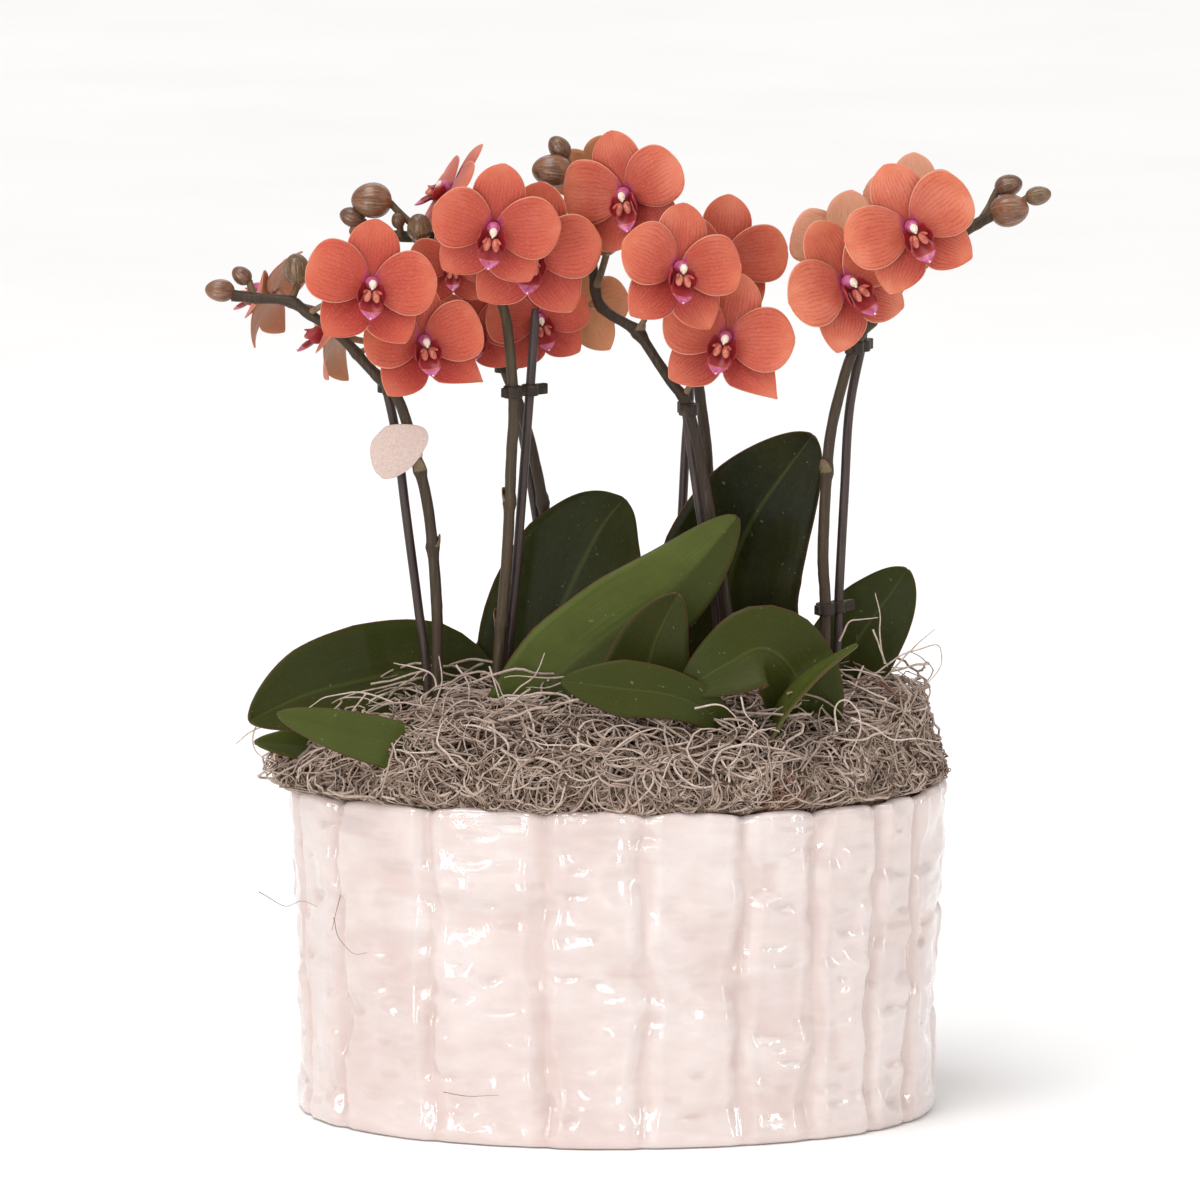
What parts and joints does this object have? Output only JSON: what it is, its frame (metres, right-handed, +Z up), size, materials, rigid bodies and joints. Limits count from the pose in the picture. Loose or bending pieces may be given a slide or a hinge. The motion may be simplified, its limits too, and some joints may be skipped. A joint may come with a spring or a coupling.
{
  "type": "potted orchid arrangement",
  "caption": "Miniature moth orchids in flower, planted together with curly moss in an oval, glossy white fluted ceramic planter.",
  "frame": {"origin": "on the surface the planter stands on, under the middle of its oval base", "axes": "+X to the right along the planter's length, -Y towards the side that faces the viewer, +Z up"},
  "size_m": [0.3516, 0.1872, 0.413],
  "materials": {
    "glaze": "gloss",
    "pot_plastic": "satin",
    "bark": "matte",
    "wick": "matte",
    "moss": "matte",
    "leaf": "satin",
    "stem": "satin",
    "stake": "satin",
    "clip": "satin",
    "tag": "matte",
    "petal": "satin"
  },
  "bodies": {
    "root": {"planter": "glaze", "nursery_pot_left": "pot_plastic", "bark_left": "bark", "wick_left": "wick", "foliage_left": "leaf", "nursery_pot_middle": "pot_plastic", "bark_middle": "bark", "wick_middle": "wick", "foliage_middle": "leaf", "nursery_pot_right": "pot_plastic", "bark_right": "bark", "wick_right": "wick", "foliage_right": "leaf", "moss": "moss", "spray_a": "stem", "stake_a": "stake", "clip_a1": "clip", "spray_b": "stem", "stake_b": "stake", "clip_b1": "clip", "spray_c": "stem", "stake_c": "stake", "clip_c1": "clip", "spray_d": "stem", "stake_d": "stake", "clip_d1": "clip", "spray_e": "stem", "stake_e": "stake", "clip_e1": "clip", "clip_e2": "clip", "spray_f": "stem", "stake_f": "stake", "clip_f1": "clip", "tag": "tag", "bloom_a1": "petal", "bloom_a2": "petal", "bloom_a3": "petal", "bloom_a4": "petal", "bloom_b1": "petal", "bloom_b2": "petal", "bloom_b3": "petal", "bloom_b4": "petal", "bloom_c1": "petal", "bloom_c2": "petal", "bloom_d1": "petal", "bloom_d2": "petal", "bloom_d4": "petal", "bloom_d5": "petal", "bloom_d6": "petal", "bloom_e1": "petal", "bloom_e2": "petal", "bloom_e3": "petal", "bloom_e4": "petal", "bloom_f1": "petal"}
  },
  "joints": []
}
